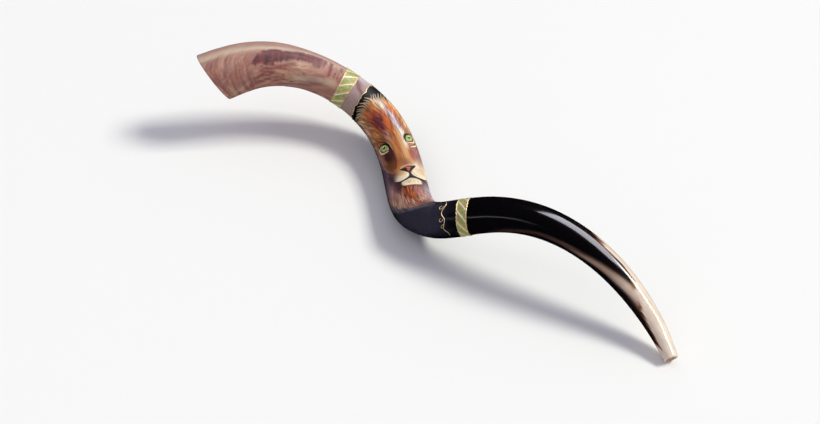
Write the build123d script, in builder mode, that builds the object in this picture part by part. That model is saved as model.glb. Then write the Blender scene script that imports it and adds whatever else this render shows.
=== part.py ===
from build123d import *
import os
from math import atan2, ceil, cos, degrees, exp, radians, sin

# Shofar: a long kudu horn, hollowed and drilled, with applied paint layers. Millimetres, +Z up.
# The horn lies on a table on its elbow and on its mouthpiece. The origin is the middle of its
# bounding box at table height, +X runs from the bell towards the mouthpiece.

os.makedirs("parts", exist_ok=True)

# ------------------------------------------------------------------ driving dimensions
# Control stations of the horn's centre line and mean radius, bell mouth first: (x, y, z, radius).
STATIONS = [
    (-389, -66, 100.5, 36.0),
    (-336, -11, 128.5, 31.5),
    (-273, 58, 96.5, 28.5),
    (-174, 82, 40.5, 29.5),
    (-71, -1, 28.6, 28.5),
    (-18, -54, 27.6, 28.0),
    (46, -81, 49.5, 24.0),
    (115, -50, 89.5, 23.5),
    (206, -37, 110.5, 21.5),
    (300, -31, 83.5, 18.0),
    (377, -41, 31.5, 13.0),
    (416, -63, 8.4, 9.5),
]
# Along the horn, u runs from 0 at the bell mouth to 1 at the mouthpiece.
KEEL_START = 76.0           # degrees about +X from +Y: where the keel points at the mouth
KEEL_TURN = -613.0          # degrees that the keel winds round on its way to the mouthpiece
KEEL_LAG = (30.0, 0.47, 0.08)       # it lags by these degrees at the elbow: lag, middle, width in u
OVAL = [(0.0, 0.05), (0.35, 0.03), (0.6, 0.02), (1.0, 0.0)]     # ovalness of the section
KEEL = [(0.0, 0.09), (0.5, 0.09), (0.8, 0.04), (1.0, 0.0)]      # height of the keel, per radius
MOUTH_LEAN = (0.25, -0.14)  # slope of the mouth's cut, towards the keel and across it
MOUTH_REACH = 0.12          # the leaning of the sections dies out at this u
WALL = [(0.0, 3.6), (0.3, 4.4), (0.55, 6.0), (0.75, 7.5), (0.9, 7.6), (1.0, 4.2)]

THROAT_RADIUS = 4.0         # the drilled hole behind the mouthpiece
THROAT_DEPTH = 27.0
HOLLOW_START = -0.004       # the hollow's cutter starts just outside the mouth
HOLLOW_END = 0.955          # the natural hollow meets the drilled throat here
HOLLOW_COUNT = 32
CUP_RADIUS = 7.2            # the cup at the mouthpiece's face
CUP_DEPTH = 8.0
TIP_ROUNDING = 1.6

COAT = 0.4                  # thickness of the black ground coat
PORTRAIT = 0.3              # the portrait's enamel, on the coat
BAND = 0.4                  # a band's enamel, on the horn
STRIPE = 0.3                # the white stripes, on a band
LINE = 0.9                  # height of a raised gold line over the horn
LINE_WIDTH = 1.4

# Places across the horn are in u; angles round it are in degrees from the keel.
# A lean is (degrees from square, direction in which the plane leans on towards the mouthpiece).
UPPER_BAND = (0.1985, 0.2155)       # its two edges
UPPER_LEAN = (4.0, 240.0)
BORDER = 0.236                      # the ground coat starts here
BORDER_LEAN = (8.0, 290.0)
PORTRAIT_SPAN = (0.243, 0.545)
PORTRAIT_FROM = [(0.243, 112.0), (0.40, 150.0), (0.47, 195.0), (0.545, 250.0)]
PORTRAIT_TO = [(0.243, 292.0), (0.40, 318.0), (0.46, 338.0), (0.545, 336.0)]
LOWER_BAND = (0.5885, 0.6035)
LOWER_LEAN = (14.0, 50.0)
SCROLL = 0.571
SCROLL_ARC = (0.0, 116.0)
SCROLL_LEAN = (6.0, 50.0)
SCROLL_WIDTH = 1.6
# White stripes: how many round the band, degrees of the first, of the slant and of the width.
UPPER_STRIPES = (12, 25.0, -20.0, 8.0)
LOWER_STRIPES = (10, 2.5, 50.0, 10.0)

UP = Vector(0, 0, 1)
OUTLINE_POINTS = 24
LOFT_STEP = 1 / 32                  # spacing of the horn's sections in u
MARGIN = 0.02                       # u that a layer's stock runs past the planes that trim it
HORN_LENGTH = 962.0                 # along the centre line


# ------------------------------------------------------------------ the horn's shape
def between(table, u):
    """Straight-line interpolation in a table of (u, value)."""
    if u <= table[0][0]:
        return table[0][1]
    for (u0, a), (u1, b) in zip(table, table[1:]):
        if u <= u1:
            return a + (b - a) * (u - u0) / (u1 - u0)
    return table[-1][1]


def spline_value(u):
    """Uniform cubic B-spline through the stations, which starts and ends on the end stations."""
    first = [2 * a - b for a, b in zip(STATIONS[0], STATIONS[1])]
    last = [2 * a - b for a, b in zip(STATIONS[-1], STATIONS[-2])]
    controls = [first, *STATIONS, last]
    t = u * (len(STATIONS) - 1)
    i = min(max(int(t), 0), len(STATIONS) - 2)
    f = t - i
    weights = ((1 - f) ** 3, 3 * f**3 - 6 * f**2 + 4, -3 * f**3 + 3 * f**2 + 3 * f + 1, f**3)
    return [sum(w * controls[i + k][axis] for k, w in enumerate(weights)) / 6 for axis in range(4)]


def centre(u):
    return Vector(*spline_value(u)[:3])


def tangent(u):
    return (centre(u + 1e-4) - centre(u - 1e-4)).normalized()


def keel_direction(u):
    """Unit vector from the centre line to the keel, square to the centre line."""
    lag, middle, width = KEEL_LAG
    angle = radians(KEEL_START + KEEL_TURN * u + lag * exp(-(((u - middle) / width) ** 2)))
    wish = Vector(0, cos(angle), sin(angle))
    along = tangent(u)
    return (wish - along * wish.dot(along)).normalized()


def radial(u, turn, lift):
    """Distance from the centre line to the surface; lift is how far outside the horn it is."""
    angle = radians(turn)
    ridge = between(KEEL, u) * ((1 + cos(angle)) / 2) ** 8
    return spline_value(u)[3] * (1 + between(OVAL, u) * cos(2 * angle) + ridge) + lift


def surface_point(u, turn, lift=0.0):
    along = tangent(u)
    keel = keel_direction(u)
    across = along.cross(keel)
    out = radial(u, turn, lift)
    c = out * cos(radians(turn))
    s = out * sin(radians(turn))
    fade = max(1 - max(u, 0) / MOUTH_REACH, 0) ** 2
    lean = fade * (MOUTH_LEAN[0] * c + MOUTH_LEAN[1] * s)
    return centre(u) + keel * c + across * s - along * lean


def section_plane(u):
    """The plane of the horn's section at u: origin on the centre line, x towards the top."""
    origin = centre(u)
    keel_side = surface_point(u, 0) - origin
    across = surface_point(u, 90) - origin
    normal = keel_side.cross(across).normalized()
    return Plane(origin=origin, x_dir=UP - normal * UP.dot(normal), z_dir=normal)


def top_angle(u):
    """Degrees from the keel to the top of the section, so that every outline starts on top."""
    along = tangent(u)
    keel = keel_direction(u)
    return degrees(atan2(UP.dot(along.cross(keel)), UP.dot(keel)))


def ring_section(u, lift):
    """Whole section of the horn at u, as a flat face in its plane."""
    plane = section_plane(u)
    angles = [top_angle(u) + 360 * k / OUTLINE_POINTS for k in range(OUTLINE_POINTS)]
    points = [plane.to_local_coords(surface_point(u, a, lift)) for a in angles]
    with BuildSketch(plane) as face:
        with BuildLine():
            Spline(*points, periodic=True)
        make_face()
    return face.sketch


def sector_section(u, start, end, inside, outside):
    """Part of a ring from one angle to another, as a flat face in the section's plane."""
    plane = section_plane(u)
    steps = max(ceil((end - start) / 15), 2)
    angles = [start + (end - start) * k / steps for k in range(steps + 1)]
    outer = [plane.to_local_coords(surface_point(u, a, outside)) for a in angles]
    inner = [plane.to_local_coords(surface_point(u, a, inside)) for a in angles]
    with BuildSketch(plane) as face:
        with BuildLine():
            Spline(*outer)
            Line(outer[-1], inner[-1])
            Spline(*reversed(inner))
            Line(inner[0], outer[0])
        make_face()
    return face.sketch


def ring_sections(start, end, lift):
    count = max(ceil((end - start) / LOFT_STEP), 2)
    return [ring_section(start + (end - start) * k / count, lift) for k in range(count + 1)]


def band_plane(u, lean):
    """Plane across the horn at u, facing the mouthpiece, leaning by a (degrees, direction) pair."""
    along = tangent(u)
    keel = keel_direction(u)
    tilt, direction = (radians(value) for value in lean)
    sideways = keel * cos(direction) + along.cross(keel) * sin(direction)
    return Plane(origin=centre(u), z_dir=along * cos(tilt) - sideways * sin(tilt))


# ------------------------------------------------------------------ horn
with BuildPart() as blank:
    loft(sections=ring_sections(0, 1, 0))

hollow_sections = []
for k in range(HOLLOW_COUNT + 1):
    station = HOLLOW_START + (HOLLOW_END - HOLLOW_START) * k / HOLLOW_COUNT
    hollow_sections.append(ring_section(station, -between(WALL, station)))

tip_face = Plane(origin=centre(1), x_dir=keel_direction(1), z_dir=tangent(1))

with BuildPart() as horn:
    add(blank.part)
    tip_edge = horn.edges().sort_by(Axis((0, 0, 0), tangent(1)))[-1]
    fillet(tip_edge, TIP_ROUNDING)
    loft(sections=hollow_sections, mode=Mode.SUBTRACT)
    with BuildSketch(tip_face):
        Circle(THROAT_RADIUS)
    extrude(amount=-THROAT_DEPTH, mode=Mode.SUBTRACT)
    with BuildSketch(tip_face):
        Circle(CUP_RADIUS)
    with BuildSketch(tip_face.offset(-CUP_DEPTH)):
        Circle(THROAT_RADIUS)
    loft(mode=Mode.SUBTRACT)
horn.part.label = "horn"
export_step(horn.part, "parts/horn.step")


# ------------------------------------------------------------------ ground coat and its border
coat_start = band_plane(BORDER, BORDER_LEAN)
line_start = band_plane(BORDER - LINE_WIDTH / HORN_LENGTH, BORDER_LEAN)
coat_end = band_plane(LOWER_BAND[0] - LINE_WIDTH / HORN_LENGTH, LOWER_LEAN)

with BuildPart() as coat_blank:
    loft(sections=ring_sections(BORDER - MARGIN, LOWER_BAND[1] + MARGIN, COAT))

with BuildPart() as ground_coat:
    add(coat_blank.part)
    split(bisect_by=coat_start, keep=Keep.TOP)
    split(bisect_by=coat_end, keep=Keep.BOTTOM)
    add(blank.part, mode=Mode.SUBTRACT)
ground_coat.part.label = "ground_coat"
export_step(ground_coat.part, "parts/ground_coat.step")

with BuildPart() as border_line:
    loft(sections=ring_sections(BORDER - MARGIN, BORDER + MARGIN, LINE))
    split(bisect_by=line_start, keep=Keep.TOP)
    split(bisect_by=coat_start, keep=Keep.BOTTOM)
    add(blank.part, mode=Mode.SUBTRACT)
border_line.part.label = "border_line"
export_step(border_line.part, "parts/border_line.step")


# ------------------------------------------------------------------ lion portrait
portrait_count = ceil((PORTRAIT_SPAN[1] - PORTRAIT_SPAN[0]) / LOFT_STEP) + 2
portrait_sections = []
for k in range(portrait_count + 1):
    station = PORTRAIT_SPAN[0] + (PORTRAIT_SPAN[1] - PORTRAIT_SPAN[0]) * k / portrait_count
    start = between(PORTRAIT_FROM, station)
    end = between(PORTRAIT_TO, station)
    portrait_sections.append(sector_section(station, start, end, 0, COAT + PORTRAIT))

with BuildPart() as lion_portrait:
    loft(sections=portrait_sections)
    add(coat_blank.part, mode=Mode.SUBTRACT)
lion_portrait.part.label = "lion_portrait"
export_step(lion_portrait.part, "parts/lion_portrait.step")


# ------------------------------------------------------------------ painted bands
def build_band(name, span, lean, stripes):
    """A band's enamel ring, its two raised edge lines and its slanted white stripes."""
    edges = [band_plane(u, lean) for u in span]
    outer_edges = [
        band_plane(span[0] - LINE_WIDTH / HORN_LENGTH, lean),
        band_plane(span[1] + LINE_WIDTH / HORN_LENGTH, lean),
    ]
    band_sections = ring_sections(span[0] - MARGIN, span[1] + MARGIN, BAND)

    with BuildPart() as band:
        loft(sections=band_sections)
        split(bisect_by=edges[0], keep=Keep.TOP)
        split(bisect_by=edges[1], keep=Keep.BOTTOM)
        add(blank.part, mode=Mode.SUBTRACT)
    band.part.label = name
    export_step(band.part, f"parts/{name}.step")

    with BuildPart() as line_blank:
        loft(sections=ring_sections(span[0] - MARGIN, span[1] + MARGIN, LINE))
        add(blank.part, mode=Mode.SUBTRACT)
    rings = []
    for near, far in ((outer_edges[0], edges[0]), (edges[1], outer_edges[1])):
        with BuildPart() as ring:
            add(line_blank.part)
            split(bisect_by=near, keep=Keep.TOP)
            split(bisect_by=far, keep=Keep.BOTTOM)
        rings.append(ring.part)
    with BuildPart() as lines:
        add(rings)
    lines.part.label = f"{name}_lines"
    export_step(lines.part, f"parts/{name}_lines.step")

    with BuildPart() as band_blank:
        loft(sections=band_sections)
    pieces = []
    count, first, slant, width = stripes
    for k in range(count):
        sections = []
        for step in range(4):
            share = step / 3
            station = span[0] - MARGIN / 2 + (span[1] - span[0] + MARGIN) * share
            middle = first + 360 * k / count + slant * (share - 0.5)
            sections.append(sector_section(
                station, middle - width / 2, middle + width / 2, 0, BAND + STRIPE))
        with BuildPart() as stripe:
            loft(sections=sections)
            split(bisect_by=edges[0], keep=Keep.TOP)
            split(bisect_by=edges[1], keep=Keep.BOTTOM)
            add(band_blank.part, mode=Mode.SUBTRACT)
        pieces.append(stripe.part)
    with BuildPart() as stripe_group:
        add(pieces)
    stripe_group.part.label = f"{name}_stripes"
    export_step(stripe_group.part, f"parts/{name}_stripes.step")


build_band("upper_band", UPPER_BAND, UPPER_LEAN, UPPER_STRIPES)
build_band("lower_band", LOWER_BAND, LOWER_LEAN, LOWER_STRIPES)


# ------------------------------------------------------------------ gold scroll
scroll_half = SCROLL_WIDTH / HORN_LENGTH / 2
scroll_sections = []
for step in range(4):
    station = SCROLL - MARGIN + 2 * MARGIN * step / 3
    scroll_sections.append(sector_section(station, *SCROLL_ARC, 0, LINE))

with BuildPart() as scroll:
    loft(sections=scroll_sections)
    split(bisect_by=band_plane(SCROLL - scroll_half, SCROLL_LEAN), keep=Keep.TOP)
    split(bisect_by=band_plane(SCROLL + scroll_half, SCROLL_LEAN), keep=Keep.BOTTOM)
    add(coat_blank.part, mode=Mode.SUBTRACT)
scroll.part.label = "scroll"
export_step(scroll.part, "parts/scroll.step")
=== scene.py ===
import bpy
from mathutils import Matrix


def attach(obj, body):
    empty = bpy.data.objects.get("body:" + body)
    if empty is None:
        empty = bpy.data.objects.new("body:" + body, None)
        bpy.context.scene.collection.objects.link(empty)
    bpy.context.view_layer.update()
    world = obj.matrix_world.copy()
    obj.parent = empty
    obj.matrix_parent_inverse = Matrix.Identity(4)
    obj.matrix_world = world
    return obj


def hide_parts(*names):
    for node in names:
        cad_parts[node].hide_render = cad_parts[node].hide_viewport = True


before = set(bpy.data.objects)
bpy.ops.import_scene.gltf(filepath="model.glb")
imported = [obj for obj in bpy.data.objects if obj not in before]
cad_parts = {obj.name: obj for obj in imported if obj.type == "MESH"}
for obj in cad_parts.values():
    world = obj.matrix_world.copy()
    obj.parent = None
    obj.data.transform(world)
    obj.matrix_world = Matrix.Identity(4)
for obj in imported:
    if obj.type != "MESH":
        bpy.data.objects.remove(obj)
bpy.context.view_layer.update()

from math import cos, pi, radians, sin, tan

import bpy
import numpy as np
from mathutils import Matrix, Vector

# Painted shofar. The horn's shape is worked out from its stations, as in the CAD model, and each
# paint layer is a mesh laid on the horn. Places on the horn are (s, turn): s in millimetres along
# the centre line from the bell, turn in degrees round the horn from its keel.

# ------------------------------------------------------------------ the horn's dimensions, mm
STATIONS = np.array([
    (-389, -66, 100.5, 36.0),
    (-336, -11, 128.5, 31.5),
    (-273, 58, 96.5, 28.5),
    (-174, 82, 40.5, 29.5),
    (-71, -1, 28.6, 28.5),
    (-18, -54, 27.6, 28.0),
    (46, -81, 49.5, 24.0),
    (115, -50, 89.5, 23.5),
    (206, -37, 110.5, 21.5),
    (300, -31, 83.5, 18.0),
    (377, -41, 31.5, 13.0),
    (416, -63, 8.4, 9.5),
])
KEEL_START = 76.0
KEEL_TURN = -613.0
KEEL_LAG, LAG_MIDDLE, LAG_WIDTH = 30.0, 0.47, 0.08
OVAL = ((0, 0.35, 0.6, 1), (0.05, 0.03, 0.02, 0))
KEEL = ((0, 0.5, 0.8, 1), (0.09, 0.09, 0.04, 0))
MOUTH_LEAN = (0.25, -0.14)
MOUTH_REACH = 0.12
WALL = ((0, 0.3, 0.55, 0.75, 0.9, 1), (3.6, 4.4, 6.0, 7.5, 7.6, 4.2))
THROAT_RADIUS, THROAT_DEPTH = 4.0, 27.0
CUP_RADIUS, CUP_DEPTH = 7.2, 8.0
TIP_ROUNDING = 1.6
RIM_ROUNDING = 1.3

# Heights of the paint layers over the horn, mm.
COAT = 0.4
PORTRAIT = 0.62
BAND = 0.45
STRIPE = 0.75
LINE = 0.95
UNDER = -0.25               # every layer's back is this far inside the horn

UPPER_BAND, UPPER_LEAN = (0.1985, 0.2155), (4.0, 240.0)
LOWER_BAND, LOWER_LEAN = (0.5885, 0.6035), (14.0, 50.0)
UPPER_STRIPES = (12, 25.0, -20.0, 3.4)      # count, first turn, slant in degrees, width in mm
LOWER_STRIPES = (10, 2.5, 50.0, 2.3)
BORDER_S, BORDER_REACH, BORDER_TURN = 239.6, 5.2, 285.0
BORDER_WIDTH, BAND_LINE_WIDTH = 1.9, 1.7
CREASE_TURN, CREASE_HEIGHT, CREASE_SPAN = 353.0, 1.3, (470, 500, 540, 568)


# ------------------------------------------------------------------ the horn's shape
def spline_values(u):
    """Position and mean radius on the uniform cubic B-spline through the stations."""
    controls = np.vstack([2 * STATIONS[0] - STATIONS[1], STATIONS, 2 * STATIONS[-1] - STATIONS[-2]])
    t = np.asarray(u, float) * (len(STATIONS) - 1)
    i = np.clip(t.astype(int), 0, len(STATIONS) - 2)
    f = (t - i)[..., None]
    return ((1 - f) ** 3 * controls[i] + (3 * f**3 - 6 * f**2 + 4) * controls[i + 1]
            + (-3 * f**3 + 3 * f**2 + 3 * f + 1) * controls[i + 2] + f**3 * controls[i + 3]) / 6


U_TABLE = np.linspace(0, 1, 4001)
STEP_LENGTHS = np.linalg.norm(np.diff(spline_values(U_TABLE)[:, :3], axis=0), axis=1)
S_TABLE = np.concatenate([[0], np.cumsum(STEP_LENGTHS)])
LENGTH = float(S_TABLE[-1])


def u_at(s):
    return np.interp(s, S_TABLE, U_TABLE)


def s_at(u):
    return np.interp(u, U_TABLE, S_TABLE)


def mean_radius(s):
    return spline_values(u_at(s))[..., 3]


def unit(v):
    return v / np.linalg.norm(v, axis=-1, keepdims=True)


def on_horn(s, turn, lift=0.0):
    """Points in metres at s and turn, lift mm outside the horn's own surface."""
    s, turn, lift = np.broadcast_arrays(np.asarray(s, float), turn, lift)
    u = u_at(s)
    value = spline_values(u)
    step = 1e-4
    along = unit(spline_values(np.clip(u + step, 0, 1)) - spline_values(np.clip(u - step, 0, 1)))
    along = unit(along[..., :3])
    lag = KEEL_LAG * np.exp(-(((u - LAG_MIDDLE) / LAG_WIDTH) ** 2))
    angle = np.radians(KEEL_START + KEEL_TURN * u + lag)
    wish = np.stack([0 * angle, np.cos(angle), np.sin(angle)], -1)
    keel = unit(wish - along * (wish * along).sum(-1, keepdims=True))
    across = np.cross(along, keel)
    th = np.radians(turn)
    ridge = np.interp(u, *KEEL) * ((1 + np.cos(th)) / 2) ** 8
    out = value[..., 3] * (1 + np.interp(u, *OVAL) * np.cos(2 * th) + ridge) + lift
    c = (out * np.cos(th))[..., None]
    w = (out * np.sin(th))[..., None]
    fade = np.clip(1 - u / MOUTH_REACH, 0, 1)[..., None] ** 2
    lean = fade * (MOUTH_LEAN[0] * c + MOUTH_LEAN[1] * w)
    return (value[..., :3] + keel * c + across * w - along * lean) / 1000


def band_edge(u, lean, turn):
    """s of a leaning cut across the horn."""
    s = s_at(u)
    tilt, direction = lean
    return s + mean_radius(s) * tan(radians(tilt)) * np.cos(np.radians(np.asarray(turn) - direction))


def border_s(turn):
    """Where the painted ground starts: a wavy line that leans across the horn."""
    turn = np.asarray(turn, float)
    waves = 0.9 * np.sin(np.radians(turn * 9)) + 0.6 * np.sin(np.radians(turn * 17 + 40))
    return BORDER_S + BORDER_REACH * np.cos(np.radians(turn - BORDER_TURN)) + waves


# ------------------------------------------------------------------ numbers and colours
PIGMENTS = {
    "black": (12, 11, 14), "soot": (34, 30, 38), "steel": (70, 68, 84), "dark": (58, 28, 24),
    "burgundy": (122, 44, 44), "plum": (84, 44, 60), "rust": (148, 68, 36), "orange": (200, 96, 34),
    "amber": (194, 126, 64), "brown": (146, 86, 46), "tan": (166, 118, 82), "sand": (208, 164, 112),
    "cream": (234, 214, 180), "white": (244, 236, 224), "lilac": (184, 172, 188),
    "mauve": (128, 100, 104), "pink": (188, 138, 120), "rose": (168, 88, 76), "grey": (102, 86, 96),
}


def smooth(low, high, x):
    """Rises from 0 to 1 between low and high."""
    t = np.clip((x - low) / (high - low), 0, 1)
    return t * t * (3 - 2 * t)


def fall(low, high, x):
    return 1 - smooth(low, high, x)


def between(x, low, full, ebb, high):
    """Rises from 0 to 1 between low and full, and falls again between ebb and high."""
    return smooth(low, full, x) * fall(ebb, high, x)


def hill(x, half, power=2):
    """1 where x is 0, fading as x passes half; a higher power makes its top flatter."""
    return np.exp(-np.abs(x / half) ** power)


def apart(turn, middle):
    """Signed degrees from middle to turn, between -180 and 180."""
    return (np.asarray(turn) - middle + 180) % 360 - 180


def noise(x, y, seed, wrap=256):
    """Smooth random values from -1 to 1 over a plane; it repeats every wrap units of y."""
    table = np.random.default_rng(seed).uniform(-1, 1, (256, 256))
    x, y = np.broadcast_arrays(np.asarray(x, float), np.asarray(y, float))
    i, j = np.floor(x).astype(int), np.floor(y).astype(int)
    f, g = x - i, y - j
    f, g = f * f * (3 - 2 * f), g * g * (3 - 2 * g)
    low = table[i % 256, j % wrap] * (1 - f) + table[(i + 1) % 256, j % wrap] * f
    high = table[i % 256, (j + 1) % wrap] * (1 - f) + table[(i + 1) % 256, (j + 1) % wrap] * f
    return low * (1 - g) + high * g


def linear(colour):
    """Linear colour from a pigment's name or a 0-255 display colour."""
    if isinstance(colour, str):
        colour = PIGMENTS[colour]
    c = np.asarray(colour, float) / 255
    return np.where(c <= 0.04045, c / 12.92, ((c + 0.055) / 1.055) ** 2.4)


def display(colour):
    """0-255 display colour from a linear one."""
    c = np.clip(colour, 0, 1)
    return 255 * np.where(c <= 0.0031308, 12.92 * c, 1.055 * c ** (1 / 2.4) - 0.055)


def tinted(name, factor):
    """A pigment made darker or lighter."""
    return np.array(PIGMENTS[name]) * factor


def plain(s, colour):
    """One colour all over a grid."""
    return np.ones(s.shape + (3,)) * linear(colour)


def mixed(base, colour, amount):
    return base + (linear(colour) - base) * np.asarray(amount)[..., None]


def layered(base, *layers):
    """Lays each (colour, amount) over what is below it."""
    for colour, amount in layers:
        base = mixed(base, colour, amount)
    return base


# ------------------------------------------------------------------ mesh helpers
def make_piece(name, points, faces, slot, replaced, material, pigment=None, unrolled=None):
    mesh = bpy.data.meshes.new(name)
    mesh.from_pydata([tuple(p) for p in points], [], faces)
    mesh.validate()
    for polygon in mesh.polygons:
        polygon.use_smooth = True
    if pigment is not None:
        layer = mesh.color_attributes.new("pigment", "FLOAT_COLOR", "POINT")
        rgba = np.ones((len(points), 4), np.float32)
        rgba[:, :pigment.shape[1]] = pigment
        layer.data.foreach_set("color", rgba.ravel())
    layer = mesh.attributes.new("unrolled", "FLOAT_VECTOR", "POINT")
    layer.data.foreach_set("vector", np.asarray(points if unrolled is None else unrolled, np.float32).ravel())
    mesh.update()
    piece = bpy.data.objects.new(name, mesh)
    bpy.context.scene.collection.objects.link(piece)
    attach(piece, "root")
    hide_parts(*replaced)
    mesh.materials.append(material)


def all_round(count):
    return np.linspace(0, 360, count, endpoint=False)


def grid_faces(rows, columns, first=0, ring=False, flip=False):
    """Quads between the points of a grid that are numbered row by row."""
    faces = []
    for i in range(rows - 1):
        for j in range(columns if ring else columns - 1):
            k = (j + 1) % columns
            a, b = first + i * columns + j, first + i * columns + k
            c, d = b + columns, a + columns
            faces.append((a, b, c, d) if flip else (a, d, c, b))
    return faces


def layer_mesh(s, turn, lift, ring, back_every):
    """A closed layer over the horn: its front, and a plainer back inside the horn's surface."""
    rows, columns = s.shape
    kept = sorted(set(range(0, rows, back_every)) | {rows - 1})
    front = on_horn(s, turn, lift).reshape(-1, 3)
    back = on_horn(s[kept], turn[kept], UNDER).reshape(-1, 3)
    first = rows * columns
    faces = grid_faces(rows, columns, 0, ring)
    faces += grid_faces(len(kept), columns, first, ring, flip=True)
    last_front, last_back = (rows - 1) * columns, first + (len(kept) - 1) * columns
    for j in range(columns if ring else columns - 1):
        k = (j + 1) % columns
        faces.append((j, k, first + k, first + j))
        faces.append((last_front + k, last_front + j, last_back + j, last_back + k))
    if not ring:
        for n, (low, high) in enumerate(zip(kept, kept[1:])):
            for column, turned in ((0, False), (columns - 1, True)):
                side = [i * columns + column for i in range(low, high + 1)]
                below = [first + (n + 1) * columns + column, first + n * columns + column]
                loop = side + below
                faces.append(tuple(reversed(loop)) if turned else tuple(loop))
    return np.vstack([front, back]), faces, kept


def make_layer(name, grid, slot, replaced, material, colour, unrolled=None, ring=True, back_every=8):
    """A piece that is a layer over the horn; grid holds its s, turn and lift."""
    s, turn, lift = grid
    points, faces, kept = layer_mesh(s, turn, lift, ring, back_every)
    unrolled = unrolled_at(s, turn) if unrolled is None else unrolled
    make_piece(name, points, faces, slot, replaced, material,
               *(np.vstack([v.reshape(-1, 3), v[kept].reshape(-1, 3)]) for v in (colour, unrolled)))


def unrolled_at(s, turn):
    """Node coordinates: s and the distance round the horn, both in metres."""
    around = np.radians(apart(turn, 180)) * mean_radius(s)
    return np.stack([s / 1000, around / 1000, np.zeros_like(s)], -1)


def ribbon(path, widths, top, base, closed=False, across=7):
    """Domed brush line along (s, turn) points; returns its points and faces."""
    path = np.asarray(path, float)
    widths = np.broadcast_to(widths, len(path))
    radius = mean_radius(path[:, 0])
    flat = np.stack([path[:, 0], np.radians(path[:, 1]) * radius], 1)
    if closed:
        ahead, behind = np.roll(path, -1, 0), np.roll(path, 1, 0)
        way = np.stack([ahead[:, 0] - behind[:, 0],
                        np.radians(apart(ahead[:, 1], behind[:, 1])) * radius], 1)
    else:
        way = np.gradient(flat, axis=0)
    way = unit(way)
    side = np.stack([-way[:, 1], way[:, 0]], 1)
    points = []
    for k in range(across):
        y = -1 + 2 * k / (across - 1)
        s = path[:, 0] + side[:, 0] * widths / 2 * y
        turn = path[:, 1] + np.degrees(side[:, 1] * widths / 2 * y / radius)
        lift = base + (top - base) * np.sqrt(max(1 - y * y, 0))
        points.append(on_horn(s, turn, np.full(len(path), lift)))
    points = np.stack(points, 1)
    rows = len(path)
    faces = []
    for i in range(rows if closed else rows - 1):
        n = (i + 1) % rows
        for k in range(across):
            m = (k + 1) % across
            faces.append((i * across + k, i * across + m, n * across + m, n * across + k))
    if not closed:
        faces.append(tuple(reversed(range(across))))
        faces.append(tuple((rows - 1) * across + k for k in range(across)))
    return points.reshape(-1, 3), faces


def joined(parts):
    """Several (points, faces) as one."""
    points, faces, count = [], [], 0
    for part_points, part_faces in parts:
        points.append(part_points)
        faces += [tuple(i + count for i in face) for face in part_faces]
        count += len(part_points)
    return np.vstack(points), faces


# ------------------------------------------------------------------ materials
class Nodes:
    """A node material, built with short calls."""

    def __init__(self, name):
        self.material = bpy.data.materials.new(name)
        self.material.use_nodes = True
        self.tree = self.material.node_tree
        self.surface = self.tree.nodes["Principled BSDF"]

    def add(self, kind, **values):
        node = self.tree.nodes.new(kind)
        for key, value in values.items():
            setattr(node, key, value)
        return node

    def link(self, source, target):
        self.tree.links.new(source, target)

    def attribute(self, name):
        return self.add("ShaderNodeAttribute", attribute_name=name)

    def noise(self, stretch, detail):
        """Noise over the unrolled coordinates, stretched along and round the horn."""
        mapping = self.add("ShaderNodeMapping")
        mapping.inputs["Scale"].default_value = (*stretch, 1)
        self.link(self.attribute("unrolled").outputs["Vector"], mapping.inputs["Vector"])
        node = self.add("ShaderNodeTexNoise")
        for socket, value in (("Scale", 1.0), ("Detail", detail), ("Roughness", 0.55)):
            node.inputs[socket].default_value = value
        self.link(mapping.outputs["Vector"], node.inputs["Vector"])
        return node.outputs["Fac"]

    def span(self, value, low, high, source=(0.3, 0.7)):
        node = self.add("ShaderNodeMapRange")
        node.inputs["From Min"].default_value, node.inputs["From Max"].default_value = source
        node.inputs["To Min"].default_value, node.inputs["To Max"].default_value = low, high
        self.link(value, node.inputs["Value"])
        return node.outputs["Result"]

    def scaled(self, colour, value):
        """The colour multiplied by a value."""
        node = self.add("ShaderNodeVectorMath", operation="SCALE")
        self.link(colour, node.inputs[0])
        self.link(value, node.inputs["Scale"])
        return node.outputs["Vector"]

    def ramp(self, value, low, high):
        """Blends two display colours by a value."""
        node = self.add("ShaderNodeValToRGB")
        for element, colour in zip(node.color_ramp.elements, (low, high)):
            element.color = (*linear(colour), 1)
        self.link(self.span(value, 0, 1), node.inputs["Fac"])
        return node.outputs["Color"]

    def colour(self, value):
        self.link(value, self.surface.inputs["Base Color"])

    def roughness(self, value):
        self.link(value, self.surface.inputs["Roughness"])

    def bump(self, height, distance):
        node = self.add("ShaderNodeBump")
        node.inputs["Strength"].default_value = 1.0
        node.inputs["Distance"].default_value = distance
        self.link(height, node.inputs["Height"])
        self.link(node.outputs["Normal"], self.surface.inputs["Normal"])

    def set(self, **values):
        for key, value in values.items():
            self.surface.inputs[key.replace("_", " ")].default_value = value


def horn_material():
    """Horn with lengthwise fibres and faint cloudiness; the pigment's alpha is its roughness."""
    m = Nodes("polished_horn")
    fibres = m.noise((90, 900), 6)
    clouds = m.noise((40, 60), 3)
    colour = m.scaled(m.attribute("pigment").outputs["Color"], m.span(fibres, 0.86, 1.14))
    colour = m.scaled(colour, m.span(clouds, 0.93, 1.07))
    m.colour(colour)
    m.roughness(m.attribute("pigment").outputs["Alpha"])
    m.bump(fibres, 0.00002)
    m.set(IOR=1.4, Subsurface_Weight=0.06, Subsurface_Radius=(0.004, 0.002, 0.001), Subsurface_Scale=1.0)
    return m.material


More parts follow.
